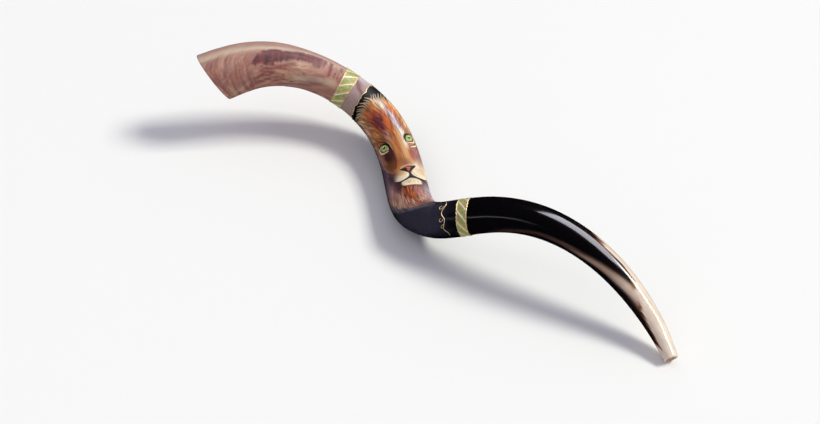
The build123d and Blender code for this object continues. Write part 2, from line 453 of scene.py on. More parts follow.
def enamel_material(name, coat=0.05, rough=(0.55, 0.7), grain=0.10, ior=1.3):
    """Brushed enamel: the painted colours under a varnish, with fine brush marks along the horn."""
    m = Nodes(name)
    marks = m.noise((250, 1800), 5)
    specks = m.noise((2600, 2600), 2)
    colour = m.scaled(m.attribute("pigment").outputs["Color"], m.span(marks, 1 - grain, 1 + grain))
    colour = m.scaled(colour, m.span(specks, 0.97, 1.03))
    m.colour(colour)
    m.roughness(m.span(marks, *rough))
    m.bump(marks, 0.00005)
    m.set(IOR=ior, Coat_Weight=coat, Coat_Roughness=0.25)
    return m.material


def gold_material():
    """Gold relief paint: metallic flakes in a warm binder, uneven along the brush line."""
    m = Nodes("gold_relief_paint")
    flakes = m.noise((5000, 5000), 2)
    strokes = m.noise((300, 500), 3)
    gold = m.ramp(strokes, (196, 164, 112), (240, 218, 170))
    m.colour(m.scaled(gold, m.span(flakes, 0.8, 1.2)))
    m.roughness(m.span(flakes, 0.3, 0.5))
    m.bump(flakes, 0.00005)
    m.set(Metallic=0.25)
    return m.material


def white_material():
    """White enamel with brush marks along the stripe."""
    m = Nodes("white_enamel_paint")
    marks = m.noise((400, 1500), 4)
    m.colour(m.ramp(marks, (208, 200, 172), (240, 236, 218)))
    m.roughness(m.span(marks, 0.25, 0.4))
    m.bump(marks, 0.00004)
    m.set(Coat_Weight=0.4, Coat_Roughness=0.1)
    return m.material


# ------------------------------------------------------------------ the horn itself
# The blotch's two edges, as bell_turn values at places along the horn.
BLOTCH_S = (60, 66, 72, 80, 92, 104, 112, 120, 140, 158, 170, 192)
BLOTCH_LOW = (66, 50, 34, 26, 22, 24, 24, 18, 14, 14, 14, 16)
BLOTCH_HIGH = (70, 70, 70, 70, 66, 58, 48, 48, 46, 46, 60, 66)
BELL_TWIST = 0.575          # degrees per mm that the bell's markings wind round the horn
HORN_ROWS, HORN_COLUMNS = 720, 200
# Where the black turns to bone: s at turns round the tail; then the tan streak's middle line.
BONE_EDGE = ((0, 60, 100, 138, 160, 188, 200, 225, 245, 275, 300, 328, 360),
             (910, 810, 780, 798, 838, 856, 862, 868, 884, 898, 915, 945, 930))
STREAK_S, STREAK_TURN = (640, 715, 749, 783, 816, 853, 885), (178, 189, 205, 219, 221, 224, 236)
STREAK_STRENGTH = ((620, 660, 715, 760, 800, 840), (0, 0.35, 0.4, 0.75, 0.95, 1))
STREAK_HALF = ((640, 720, 790, 850, 890), (9, 8, 13, 20, 30))      # degrees


def ring_places(s, v):
    """Distance from the mouth to the growth ring through a place; the rings curve near the keel."""
    return s + 2.5 * noise(s / 30, v / 30, 3) - 16 * np.clip((62 - v) / 45, 0, 1.6) ** 2


def bell_turn(s, turn):
    """Degrees round the bell, unwound so that its markings run straight along it."""
    return apart(turn, 100) + 100 - BELL_TWIST * s


def bell_ground(s, turn, v, cloud):
    """Mauve horn with tan clouds, a brown keel and pale strips beside it; the pale strips are partly a
    painted highlight along the keel.
    """
    wave = noise(s / 40, turn / 30, 1, 12)
    return layered(
        plain(s, (164, 112, 96)),
        ((142, 90, 84), smooth(-0.4, 0.6, wave)),
        ((180, 140, 120), 0.6 * smooth(0, 0.6, cloud)),
        # Pale strip beside the keel: partly the horn's paler colour, partly a painted highlight along the
        # keel.
        ((188, 162, 146), 0.9 * hill(v - 16, 14)),
        ((166, 126, 112), 0.85 * fall(-4, 10, v) * smooth(-90, -60, v)),
        # Cream strip beside the keel: partly the horn's paler colour, partly a painted highlight along the
        # keel.
        ((204, 176, 148), 0.8 * hill(v - 22 + 0.04 * s, 6) * fall(60, 120, s)))


def growth_rings(colour, s, v, cloud, fine):
    """Fine rings at the mouth, and four stronger ones."""
    place = ring_places(s, v)
    ring = noise(place / 3.4, v / 40, 15) + 0.6 * noise(place / 1.4, v / 24, 16) + 0.25 * fine
    side = smooth(14, 34, v) * (1 - 0.6 * smooth(170, 220, v))
    near = fall(50, 72, s) * side
    uneven = side * smooth(-0.5, 0.4, cloud + 0.5 * fine + 0.2)
    strong_rings = (((124, 66, 56), strength * hill(place - ring_s, 1.3) * uneven)
                    for ring_s, strength in ((7, 0.6), (25, 0.45), (43, 0.55), (54, 0.4)))
    return layered(
        colour, ((142, 86, 72), 0.72 * near * smooth(0.1, 0.8, ring)),
        ((190, 152, 130), 0.55 * near * smooth(0.1, 0.8, -ring)), *strong_rings)


def blotched(colour, s, v, fine, speck):
    """The burgundy blotch: toothed edges, dark teeth and spots, and rust where it ends."""
    cross = noise(s / 2.6, v / 26, 14)
    low, high = np.interp(s, BLOTCH_S, BLOTCH_LOW), np.interp(s, BLOTCH_S, BLOTCH_HIGH)
    teeth = 7 * noise(s / 3.4, v / 30, 26) + 4 * noise(s / 1.5, v / 16, 27) + 2 * speck
    blotch = smooth(low - 3, low + 5, v + 0.4 * teeth) * fall(high - 5, high + 6, v + teeth)
    blotch = blotch * smooth(58, 65, s + 0.3 * teeth) * fall(188, 200, s)
    late = blotch * smooth(152, 166, s)
    early = blotch * fall(152, 166, s)
    spots = (((44, 6, 14), 0.75 * hill(s - spot_s - 1.5 * fine, 3.2) * hill(v - spot_v, half_v, 4))
             for spot_s, spot_v, half_v in ((81, 56, 13), (108, 50, 9)))
    return layered(
        colour, ((96, 14, 22), early * (0.9 + 0.1 * fine)),
        ((122, 56, 46), late * smooth(-0.3, 0.5, cross + 0.4 * speck)),
        ((58, 8, 16), 0.6 * early * smooth(0.1, 0.8, cross + 0.4 * fine)),
        ((128, 60, 60), 0.45 * early * smooth(0.1, 0.8, 0.3 * speck - cross)),
        ((66, 14, 24), 0.6 * early * hill(v - low - 4, 4)),
        *spots,
        ((176, 132, 106), 0.75 * hill(s - 73, 3) * hill(v - 32, 8)))


def bell_colour(s, turn):
    """Tan and mauve horn with growth rings at the mouth, a burgundy blotch and rust mottles."""
    v = bell_turn(s, turn)
    cloud = noise(s / 16, turn / 12, 13, 30)
    fine = noise(s / 5, turn / 5, 2, 72)
    speck = noise(s / 2.2, turn / 2.0, 24, 180)
    stain = 0.9 * noise(s / 8, v / 5, 17) + 0.5 * noise(s / 3.2, v / 2.6, 25) + 0.25 * speck
    mottle = between(v, 60, 74, 114, 130) * between(s, 56, 70, 128, 150)
    patch = hill(s - 130, 9, 4) * hill(v - 61, 8, 4)
    rust = hill(s - 145, 6) * hill(v - 60, 9)
    khaki = hill(v - 102 + 0.4 * (s - 120), 9, 4) * between(s, 108, 124, 186, 198)
    streak = hill(v - 130 + 0.32 * (s - 100), 5) * between(s, 92, 104, 148, 160)
    colour = growth_rings(bell_ground(s, turn, v, cloud), s, v, cloud, fine)
    colour = layered(colour, ((126, 62, 46), 0.85 * mottle * smooth(-0.2, 1.0, stain)),
                     ((190, 150, 122), 0.5 * mottle * smooth(0.1, 0.8, -stain)))
    return layered(
        blotched(colour, s, v, fine, speck),
        ((206, 178, 150), 0.85 * patch * smooth(-0.8, 0.2, fine)),
        ((150, 92, 70), 0.6 * rust * smooth(-0.5, 0.4, stain)),
        ((190, 166, 140), 0.8 * khaki * (0.85 + 0.15 * fine)),
        ((112, 72, 76), 0.7 * streak),
        ((142, 104, 100), 0.35 * smooth(0.1, 0.7, noise(s / 30, v / 7, 18))))


def neck_colour(s, turn):
    """Between the upper band and the painted ground; it pales to lilac towards the top side as a painted
    sheen.
    """
    wave = noise(s / 18, turn / 24, 5, 15)
    wisps = hill(apart(turn, 165 + 1.4 * (s - 225) + 8 * wave), 9)
    return layered(
        # Lilac towards smaller turns, the top side: a painted sheen.
        plain(s, (162, 136, 132)), ((186, 174, 184), 0.8 * smooth(165, 120, turn)),
        ((112, 52, 60), 0.85 * wisps), ((152, 128, 110), 0.6 * smooth(200, 250, turn)))


def tail_colour(s, turn):
    """Black horn that turns to bone along a ragged slanting edge."""
    ragged = 6 * noise(s / 28, turn / 9, 6, 40) + 2 * noise(s / 9, turn / 5, 7, 72)
    past = s - (np.interp(turn % 360, *BONE_EDGE) + ragged)
    glow = noise(s / 55, turn / 8, 8, 45)
    fibre = noise(s / 60, turn / 2.6, 28, 138)
    grain = noise(s / 45, turn / 4, 9, 90)
    aside = apart(turn, np.interp(s, STREAK_S, STREAK_TURN))
    strength, half = np.interp(s, *STREAK_STRENGTH), np.interp(s, *STREAK_HALF)
    streak = hill(aside, half, 3) * strength * (0.78 + 0.3 * fibre)
    tan_share = smooth(740, 850, s + 14 * fibre) * hill(aside, 0.8 * half, 3)
    pale = smooth(822, 862, s + 8 * fibre) * hill(apart(turn, 222), 20, 3)
    bone = smooth(0, 8, past)
    return layered(
        plain(s, (9, 7, 10)),
        ((50, 30, 26), 0.6 * smooth(-50, 0, past) * (0.6 + 0.4 * glow)),
        ((96, 70, 62), np.clip(streak, 0, 1)),
        ((186, 156, 134), 0.9 * tan_share),
        ((214, 192, 172), pale),
        ((122, 80, 54), smooth(-7, 0, past) * (1 - pale)),
        ((226, 209, 192), bone),
        ((196, 168, 144), 0.45 * bone * smooth(0.05, 0.8, grain)),
        ((238, 226, 212), 0.5 * bone * smooth(0.1, 0.9, -grain)),
        ((198, 170, 150), 0.2 * bone * hill(past - 22, 20)))


def horn_colour(s, turn):
    colour = bell_colour(s, turn)
    colour += (neck_colour(s, turn) - colour) * smooth(206, 216, s)[..., None]
    return colour + (tail_colour(s, turn) - colour) * smooth(570, 590, s)[..., None]


def horn_relief(s, turn):
    """Rings at the mouth and a faint unevenness, in mm; none under the paint."""
    v = bell_turn(s, turn)
    rings = 0.14 * noise(ring_places(s, v) / 3.4, v / 60, 15) * between(s, 2, 10, 50, 72)
    uneven = 0.2 * noise(s / 70, turn / 24, 10, 15) + 0.05 * noise(s / 14, turn / 8, 11, 45)
    tail = 0.1 * noise(s / 120, turn / 30, 19, 12)
    return rings + uneven * between(s, 2, 12, 184, 190) + tail * between(s, 620, 650, 930, 950)


def roughness_of(s, turn):
    """Dull at the bell, polished on the tail."""
    return 0.13 + 0.6 * fall(560, 620, s) + 0.03 * noise(s / 20, turn / 18, 29, 20)


def horn_profile():
    """Rows of (s, lift) from the hollow over the rim to the cup and throat, and the outside's slice."""
    inner_s = np.linspace(RIM_ROUNDING, LENGTH - THROAT_DEPTH, 60)[::-1]
    half_wall = WALL[1][0] / 2
    rows = [(inner_s[0], THROAT_RADIUS - mean_radius(inner_s[0]))]
    rows += [(s, -np.interp(u_at(s), *WALL)) for s in inner_s]
    rows += [(RIM_ROUNDING * (1 - sin(a)), half_wall * (cos(a) - 1)) for a in np.linspace(pi, 0, 13)[1:-1]]
    outer = slice(len(rows), len(rows) + HORN_ROWS)
    rows += [(s, 0.0) for s in np.linspace(RIM_ROUNDING, LENGTH - TIP_ROUNDING, HORN_ROWS)]
    rows += [(LENGTH - TIP_ROUNDING * (1 - sin(a)), TIP_ROUNDING * (cos(a) - 1))
             for a in np.linspace(0, pi / 2, 6)[1:]]
    cup = [(CUP_DEPTH * share, CUP_RADIUS + (THROAT_RADIUS - CUP_RADIUS) * share**0.8)
           for share in np.linspace(0, 1, 13)]
    throat = [(depth, THROAT_RADIUS) for depth in np.linspace(CUP_DEPTH, THROAT_DEPTH, 8)[1:]]
    rows += [(LENGTH - depth, radius - mean_radius(LENGTH - depth)) for depth, radius in cup + throat]
    return rows, outer


def build_horn():
    rows, outer = horn_profile()
    turns = all_round(HORN_COLUMNS)
    s, lift = (np.array(column, float)[:, None] + 0 * turns for column in zip(*rows))
    turn = turns + 0 * s
    colour = horn_colour(s, turn)
    # The bore's inside darkens deeper into the hollow: painted shade.
    inside = linear((196, 166, 136)) * (1 - 0.55 * smooth(0, 120, s))[..., None]
    inside = inside * (1 + 0.08 * noise(s / 20, turn / 10, 12, 36))[..., None]
    colour[:outer.start - 5] = inside[:outer.start - 5]
    colour[outer.stop + 5:] = mixed(colour[outer.stop + 5:], (196, 168, 138), 0.8)
    lift[outer] += horn_relief(s[outer], turn[outer])
    colour = np.concatenate([colour, roughness_of(s, turn)[..., None]], -1)
    faces = grid_faces(len(rows), HORN_COLUMNS, 0, ring=True)
    last = (len(rows) - 1) * HORN_COLUMNS
    for j in range(HORN_COLUMNS):
        k = (j + 1) % HORN_COLUMNS
        faces.append((last + j, j, k, last + k))
    make_piece("horn_skin", on_horn(s, turn, lift).reshape(-1, 3), faces, "horn_keratin", ["horn"],
               horn_material(), colour.reshape(-1, 4), unrolled_at(s, turn).reshape(-1, 3))


ELBOW_REFLECTION_COLOUR = (48, 47, 61)     # the grey painted reflection on the black ground under the elbow


def crease(s, turn):
    """Height of the sharp keel at the elbow, in mm."""
    return CREASE_HEIGHT * hill(apart(turn, CREASE_TURN), 9, 1) * between(s, *CREASE_SPAN)


# ------------------------------------------------------------------ the painter's canvas
class Canvas:
    """Colour and brush relief on a grid of s and x, x being mm across the portrait."""

    def __init__(self, s, x):
        self.s, self.x = s, x
        self.row_s, self.column_x = s.mean(1), x[0]
        self.slack = float(np.abs(s - self.row_s[:, None]).max())
        self.colour = np.zeros(s.shape + (3,))
        self.rise = np.zeros(s.shape)

    def window(self, low, high):
        rows = np.searchsorted(self.row_s, (low[0] - self.slack, high[0] + self.slack))
        columns = np.searchsorted(self.column_x, (low[1], high[1]))
        return slice(*rows), slice(*columns)

    def lay(self, area, colour, cover, rise=0.0):
        self.colour[area] += (colour - self.colour[area]) * cover[..., None]
        self.rise[area] += rise * cover

    def wash(self, colour, cover):
        """A colour laid over the whole canvas."""
        self.lay((slice(None), slice(None)), linear(colour), cover)

    def stroke(self, points, width, colour, strength=1.0, soft=0.5, rise=0.0, taper=(0.35, 0.5),
               end_colour=None):
        """A brush stroke through the points; taper gives its shares that narrow at each end."""
        path = curve_through(points)
        margin = width / 2 + soft
        area = self.window(path.min(0) - margin, path.max(0) + margin)
        s, x = self.s[area], self.x[area]
        if s.size == 0:
            return
        best = np.full(s.shape, 1e9)
        share = np.zeros(s.shape)
        for k, (a, b) in enumerate(zip(path, path[1:])):
            way = b - a
            t = np.clip(((s - a[0]) * way[0] + (x - a[1]) * way[1]) / max(way @ way, 1e-9), 0, 1)
            gap = np.hypot(s - a[0] - t * way[0], x - a[1] - t * way[1])
            nearer = gap < best
            best = np.where(nearer, gap, best)
            share = np.where(nearer, (k + t) / (len(path) - 1), share)
        thin = np.clip(share / max(taper[0], 1e-6), 0, 1) ** 0.6
        thin = thin * np.clip((1 - share) / max(taper[1], 1e-6), 0, 1) ** 0.6
        half = width / 2 * thin
        cover = strength * fall(half - soft / 2, half + soft / 2, best) * smooth(0, 0.15, thin)
        start = linear(colour)
        end = start if end_colour is None else linear(end_colour)
        self.lay(area, start + (end - start) * share[..., None], cover, rise)

    def patch(self, middle, size, colour, strength=1.0, soft=0.5, tilt=0.0, rise=0.0, power=2.0):
        """A soft-edged oval: size is its half length along s and half width across."""
        reach = max(size) * (1 + soft)
        area = self.window(np.array(middle) - reach, np.array(middle) + reach)
        s, x = self.s[area] - middle[0], self.x[area] - middle[1]
        p = s * cos(radians(tilt)) + x * sin(radians(tilt))
        q = -s * sin(radians(tilt)) + x * cos(radians(tilt))
        gap = (np.abs(p / size[0]) ** power + np.abs(q / size[1]) ** power) ** (1 / power)
        self.lay(area, linear(colour), strength * fall(1 - soft, 1 + soft, gap), rise)

    def strokes(self, *rows):
        for row in rows:
            self.stroke(*row)

    def patches(self, *rows):
        for row in rows:
            self.patch(*row)


def curve_through(points, per_span=4):
    """Catmull-Rom curve through a few points."""
    p = np.asarray(points, float)
    if len(p) == 2:
        return p
    p = np.vstack([2 * p[0] - p[1], p, 2 * p[-1] - p[-2]])
    out = []
    for a, b, c, d in zip(p, p[1:], p[2:], p[3:]):
        for t in np.arange(per_span) / per_span:
            out.append(0.5 * (2 * b + (c - a) * t + (2 * a - 5 * b + 4 * c - d) * t**2
                              + (3 * b - a - 3 * c + d) * t**3))
    return np.array(out + [p[-2]])


# ------------------------------------------------------------------ the lion's head
# Turn of the face's middle line at a few s; x is measured across from it.
FACE_MIDDLE = ((230, 317, 381, 435, 480, 560), (190, 210, 222, 232, 246, 300))
FACE_START, FACE_END, FACE_HALF = 236.0, 556.0, 56.0
BEARD_END = 524.0
GRID = 0.6

# The underpainting: at each s, places across the face in mm, each with its pigment.
# The lilac and white near x = -11 (s 282 to 360) and the lilac right of the chin (s 468 to 522) are partly
# painted highlight; the grey and soot towards x = 50 are partly painted shade on the side away from the
# light, and partly the fade into the black ground.
GROUNDS = {
    262: "-50 mauve -34 tan -20 sand -9 cream 0 amber 14 brown 30 tan 42 mauve 52 grey",
    282: "-50 mauve -34 tan -26 amber -19 orange -14 plum -11 lilac -7 amber 0 rust 6 burgundy 14 rust "
         "22 brown 32 tan 42 mauve",
    300: "-50 mauve -36 pink -28 tan -21 brown -16 rust -12.5 lilac -9 plum -5 rust 0 rust 6 plum "
         "14 burgundy 20 rust 28 brown 38 tan 48 grey",
    320: "-50 mauve -34 pink -26 sand -19 rust -14 lilac -11 lilac -7 tan -2 orange 3 orange 8 plum "
         "14 burgundy 20 amber 30 brown 40 tan 50 grey",
    340: "-50 mauve -38 pink -24 tan -16 pink -12 white -8 sand -4 amber -1 rust 3 amber 9 pink "
         "16 brown 26 brown 38 tan 50 grey",
    360: "-50 mauve -36 mauve -22 tan -15 pink -11 white -7.5 sand -4 amber 1 rust 6 amber 10 brown "
         "13 dark 28 brown 36 pink 50 grey",
    380: "-50 mauve -34 mauve -24 rose -17 rose -13 rust -9 sand -4 amber 0 brown 6 amber 10 brown "
         "14 dark 26 dark 32 brown 40 grey 50 soot",
    400: "-50 mauve -34 pink -26 rose -18 rust -13 rust -9 amber 0 brown 8 brown 14 rust 22 dark "
         "28 brown 34 grey 50 soot",
    420: "-50 mauve -32 pink -26 cream -14 cream 0 brown 10 amber 18 rust 26 brown 31 plum 38 grey 50 soot",
    442: "-50 mauve -32 mauve -20 plum -8 dark 0 dark 18 dark 26 plum 36 mauve 50 grey",
    468: "-50 mauve -24 lilac -12 mauve -2 plum 6 rust 14 dark 24 plum 34 pink 46 mauve",
    500: "-40 mauve -14 lilac -2 pink 8 brown 15 rust 22 dark 29 pink 40 pink",
    522: "-40 mauve -8 lilac 4 pink 14 mauve 22 brown 30 tan",
    552: "-40 soot -6 steel 6 mauve 16 grey 24 soot",
}


def underpaint(canvas):
    """Blends the grounds along the face and across it."""
    across = []
    for stops in GROUNDS.values():
        words = stops.split()
        places = [float(word) for word in words[::2]]
        colours = np.array([linear(name) for name in words[1::2]])
        across.append(np.stack([np.interp(canvas.x, places, colours[:, k]) for k in range(3)], -1))
    wobble = canvas.s + 3 * noise(canvas.s / 14, canvas.x / 3, 20)
    t = np.interp(wobble, list(GROUNDS), np.arange(len(GROUNDS)))
    low = np.clip(t.astype(int), 0, len(GROUNDS) - 2)
    stack = np.stack(across)
    rows, columns = np.indices(low.shape)
    share = (t - low)[..., None]
    canvas.colour[:] = stack[low, rows, columns] * (1 - share) + stack[low + 1, rows, columns] * share


def fur_way(s, x):
    """Direction of the fur at a place: back from the face in the mane, down in the beard."""
    if s < 345:
        return np.array([-1.0, 0.34 * np.clip(x / 22, -1.2, 1.2)])
    if s < 415:
        return np.array([-1.0, 0.5 * np.clip(x / 26, -1, 1)])
    if s < 455:
        return np.array([0.9, 0.7 * np.clip(x / 20, -1, 1)])
    return np.array([1.0, 0.14])


def local_colour(canvas, s, x):
    """Display colour of the canvas at a place."""
    i = min(np.searchsorted(canvas.row_s, s), len(canvas.row_s) - 1)
    j = min(np.searchsorted(canvas.column_x, x), len(canvas.column_x) - 1)
    return display(canvas.colour[i, j])


def fur(canvas, rng, count, s_range, x_range, length, width, shades, strength=0.75):
    """Many fine strokes, each a shade of the colour that it is laid on."""
    for _ in range(count):
        s, x = rng.uniform(*s_range), rng.uniform(*x_range)
        size = rng.uniform(*length)
        way = fur_way(s, x)
        way = way / np.hypot(*way)
        bend = rng.uniform(-0.18, 0.18) * size
        side = np.array([-way[1], way[0]])
        start = np.array([s, x]) - way * size / 2
        middle = np.array([s, x]) + side * bend * 0.4
        end = np.array([s, x]) + way * size / 2 + side * bend
        shade = rng.uniform(*shades)
        colour = np.clip(local_colour(canvas, s, x) * shade + rng.uniform(-8, 8), 0, 250)
        canvas.stroke([start, middle, end], rng.uniform(*width), colour, strength, 0.45, 0.02)


def lock(canvas, x, root_s, tip_s, width, colour, curl, strength=0.95):
    """One curved lock of the mane, from its root in the fur to its point."""
    splay = 0.36 * np.clip(x / 22, -1.3, 1.3)
    reach = root_s - tip_s
    root = np.array([root_s, x])
    middle = root + np.array([-0.55 * reach, splay * 0.35 * reach - 0.3 * curl])
    tip = root + np.array([-reach, splay * reach + curl])
    canvas.stroke([root, middle, tip], width, local_colour(canvas, root_s, x), strength, 0.4, 0.06,
                  (0.15, 0.75), colour)


def crest_s(x):
    """Where the mane's longest locks end."""
    return 243.5 + (min(0.018 * x * x, 7 + 0.05 * x) if x > 0 else 0.02 * x * x)


def mane_tips(canvas, rng):
    """Locks that end in points on the black ground along the border, and shorter ones at the sides."""
    places = np.arange(-56, 57)
    crest = np.interp(canvas.x, places, [crest_s(x) for x in places])
    canvas.wash("black", fall(13, 20, canvas.s - crest + 3 * noise(canvas.s / 5, canvas.x / 2.2, 21)))
    for x in np.arange(-50, 51, 2.4):
        shade = tinted("brown", rng.uniform(0.6, 1.0))
        lock(canvas, x, crest_s(x) + rng.uniform(22, 28), crest_s(x) + rng.uniform(7, 10), 2.6, shade,
             rng.uniform(-2, 2))
    for x in np.arange(-49, 50, 3.4):
        lock(canvas, x, crest_s(x) + rng.uniform(24, 32), crest_s(x) + 8, 1.2,
             ("burgundy", "dark")[rng.integers(2)], np.sign(x + 5) * 2.0, 0.85)
    for x in np.arange(-50, 51, 3.1):
        x = x + rng.uniform(-0.7, 0.7)
        shade = tinted("cream" if abs(x) < 30 else "sand", rng.uniform(0.84, 1.02))
        curl = np.sign(x + 4) * rng.uniform(2.0, 4.5)
        lock(canvas, x, crest_s(x) + rng.uniform(17, 25), crest_s(x) + rng.uniform(0, 4),
             rng.uniform(1.9, 2.7), shade, curl)
    for x in np.arange(-48, 50, 3.1):
        lock(canvas, x, crest_s(x) + rng.uniform(14, 18), crest_s(x) + 4, 0.9, "black",
             np.sign(x + 4) * 2.5, 0.9)
    for k, x in enumerate(np.arange(24, 46, 2.4)):
        root_s = 268 + 2.2 * (x - 24) + rng.uniform(-4, 8)
        lock(canvas, x, root_s, root_s - rng.uniform(13, 18), 2.1, ("sand", "dark", "cream")[k % 3], 4.0, 0.9)
    sides = ((14, 47, 272, 340, 84, ("sand", "cream", "dark", "brown"), 3.0, (1.0, 2.0)),
             (-40, -17, 272, 330, 60, ("orange", "sand", "dark", "cream"), -2.0, (0.9, 1.6)))
    for low, high, first_s, last_s, count, names, curl, widths in sides:
        for _ in range(count):
            x, root_s = rng.uniform(low, high), rng.uniform(first_s, last_s)
            shade = tinted(names[rng.integers(4)], rng.uniform(0.75, 1.0))
            lock(canvas, x, root_s, root_s - rng.uniform(10, 19), rng.uniform(*widths), shade, curl, 0.8)


def brow_and_bridge(canvas, rng):
    """The pale parting, partly a painted highlight, the orange flame and the long bridge of the nose."""
    # Lilac and white strokes of the parting: partly paint, partly a painted highlight.
    for k in range(9):
        x, start = rng.uniform(-12.5, -10.5), rng.uniform(266, 300)
        canvas.stroke([(start, x - 1), (start + 22, x), (start + rng.uniform(38, 60), -10 + 0.3 * (x + 11))],
                      rng.uniform(0.6, 1.1), "lilac" if k % 3 else "white", 0.36, 0.8)
    # A steel line in the parting and a white line down the bridge's right side: partly a painted highlight.
    canvas.strokes(
        ([(280, -11), (300, -11.5), (320, -12)], 0.9, "steel", 0.7, 0.7),
        ([(322, -12.5), (340, -11.0), (358, -8.5), (376, -7.0)], 2.4, "white", 0.45, 1.8, 0.0,
         (0.5, 0.5)))
    for k in range(34):
        x, start = rng.uniform(2, 24), rng.uniform(280, 316)
        canvas.stroke([(start, x), (start + 8, x * 0.92), (start + rng.uniform(12, 22), x * 0.8)],
                      rng.uniform(0.7, 1.5), ("burgundy", "plum", "dark", "orange")[k % 4], 0.6, 0.7)
    for k in range(30):
        x = rng.normal(-1.2, 2.0)
        canvas.stroke([(rng.uniform(296, 306), x - 1.5), (312, x * 0.8), (rng.uniform(326, 342), x * 0.35)],
                      rng.uniform(0.7, 1.4), tinted("orange", rng.uniform(0.8, 1.12)), 0.7, 0.6)
    canvas.stroke([(276, 4), (300, 5.5), (318, 4), (334, 1.5), (372, 1.0)], 1.6, "dark", 0.85, 0.8,
                  end_colour="rust")
    canvas.strokes(
        ([(296, -8), (314, -5), (330, -1), (344, 0.5)], 1.2, "dark", 0.7, 0.8),
        ([(284, 9), (302, 9), (316, 7)], 2.6, "plum", 0.7, 1.4))
    for k in range(40):
        x, start = rng.uniform(-7, 8), rng.uniform(326, 395)
        shade = "amber" if x < 3 else ("brown" if k % 3 else "orange")
        canvas.stroke([(start, x), (start + 10, x * 0.97), (start + rng.uniform(16, 30), x)],
                      rng.uniform(0.5, 1.1), tinted(shade, rng.uniform(0.8, 1.2)), 0.5, 0.6)
    canvas.strokes(
        ([(330, -3.5), (360, -3.0), (404, -4.5)], 1.2, "sand", 0.6, 0.9),
        ([(334, 6.5), (366, 6.5), (400, 9)], 1.0, "sand", 0.4, 0.9),
        ([(372, -9.5), (392, -11), (410, -12)], 1.8, "rust", 0.55, 1.4),
        ([(364, 12), (384, 12.5), (402, 14), (418, 19)], 3.0, "dark", 0.7, 2.2))


def almond(p, q, half_length, half_height):
    """0 inside an almond to 1 on its outline and beyond; p and q are mm from its middle."""
    reach = np.clip(1 - np.abs(p / half_length) ** 2.1, 0, None) * half_height
    return np.where(np.abs(p) < half_length, np.abs(q) / np.maximum(reach, 0.05), 9)


def eye(canvas, outer, inner, half, iris):
    """An almond eye between two corners; half is its half height and iris its iris's radius."""
    outer, inner = np.array(outer, float), np.array(inner, float)
    middle, way = (outer + inner) / 2, inner - outer
    length = np.hypot(*way) / 2
    way = way / (2 * length)
    side = np.array([-way[1], way[0]]) * np.sign(-way[1])
    area = canvas.window(middle - 2 * length, middle + 2 * length)
    ds, dx = canvas.s[area] - middle[0], canvas.x[area] - middle[1]
    p, q = ds * way[0] + dx * way[1], ds * side[0] + dx * side[1]
    lid = almond(p, q - 0.52 * half, length * 1.15, half * 1.24)
    outline = almond(p, q + 0.12 * half, length * 1.25, half * 1.42)
    inside = fall(0.84, 1.0, almond(p, q, length, half))
    off = np.hypot(p, q + 0.1 * half)
    glow = np.hypot(p - 0.25 * iris, q - 0.35 * iris)
    glint = np.hypot(p + 0.5 * iris, q + 0.4 * iris)
    pupil = 0.4 * iris
    for colour, cover, rise in (
            ("cream", 0.95 * fall(0.84, 1.04, lid), 0.05), ("black", fall(0.86, 1.06, outline), 0),
            ((172, 176, 124), inside, 0.08), ((56, 66, 28), inside * fall(iris, iris + 0.5, off), 0),
            ((172, 188, 92), inside * fall(iris - 1.0, iris - 0.5, off), 0),
            ((200, 210, 116), 0.7 * inside * fall(0.3 * iris, 0.75 * iris, glow), 0),
            ((8, 8, 8), inside * fall(pupil, pupil + 0.5, off), 0),
            ((248, 250, 238), 0.9 * inside * fall(0.12 * iris, 0.34 * iris, glint), 0)):
        canvas.lay(area, linear(colour), cover, rise)


def eyes(canvas):
    """Both eyes, with the shadows round them and the dark and pale lines of their lids."""
    canvas.patches(
        ((350, -21), (14, 10), "tan", 0.6, 0.6, 40), ((352, 25), (15, 11), "brown", 0.7, 0.6, -36),
        ((383, 21.5), (13, 7), (70, 30, 28), 0.85, 0.5, -10),
        ((402, 25), (10, 7), (112, 66, 28), 0.75, 0.6), ((428, 27), (11, 9), (66, 46, 60), 0.75, 0.6))
    canvas.stroke([(364, 36), (381, 37.5), (399, 34.5), (415, 27), (421, 22)], 1.3, "pink", 0.6, 1.0)
    canvas.patches(
        ((392, -12.5), (13, 3.6), "rose", 0.75, 0.6, -8),
        ((394, -22), (24, 6), (140, 120, 122), 0.6, 0.7),
        ((384, -4.5), (22, 3.6), "sand", 0.55, 0.7), ((408, 0), (9, 9), (140, 88, 62), 0.5, 0.7))
    eye(canvas, (341, -27.5), (358.5, -14), 5.6, 5.4)
    eye(canvas, (346.5, 29.5), (366.5, 16), 6.1, 6.0)
    canvas.strokes(
        ([(348, -33), (358, -29), (366, -21), (372, -13.5)], 1.0, "dark", 0.8, 0.7),
        ([(359, -31), (366, -24), (371.5, -15)], 3.0, "cream", 0.95, 0.5, 0.04),
        ([(363, -29), (370, -22), (375, -14)], 1.0, "dark", 0.7, 0.8),
        ([(336, -22), (346, -13), (357, -9.5)], 1.5, "dark", 0.75, 0.8),
        ([(333, 31), (340, 22.5), (352, 14.5), (364, 13), (376, 11.5)], 1.9, "black", 0.9, 0.7),
        ([(346, 16), (356, 11.8), (366, 11), (374, 9.8)], 1.2, "sand", 0.8, 0.7),
        ([(360, 36), (369.5, 27.5), (375, 17)], 2.2, "dark", 0.75, 1.4))


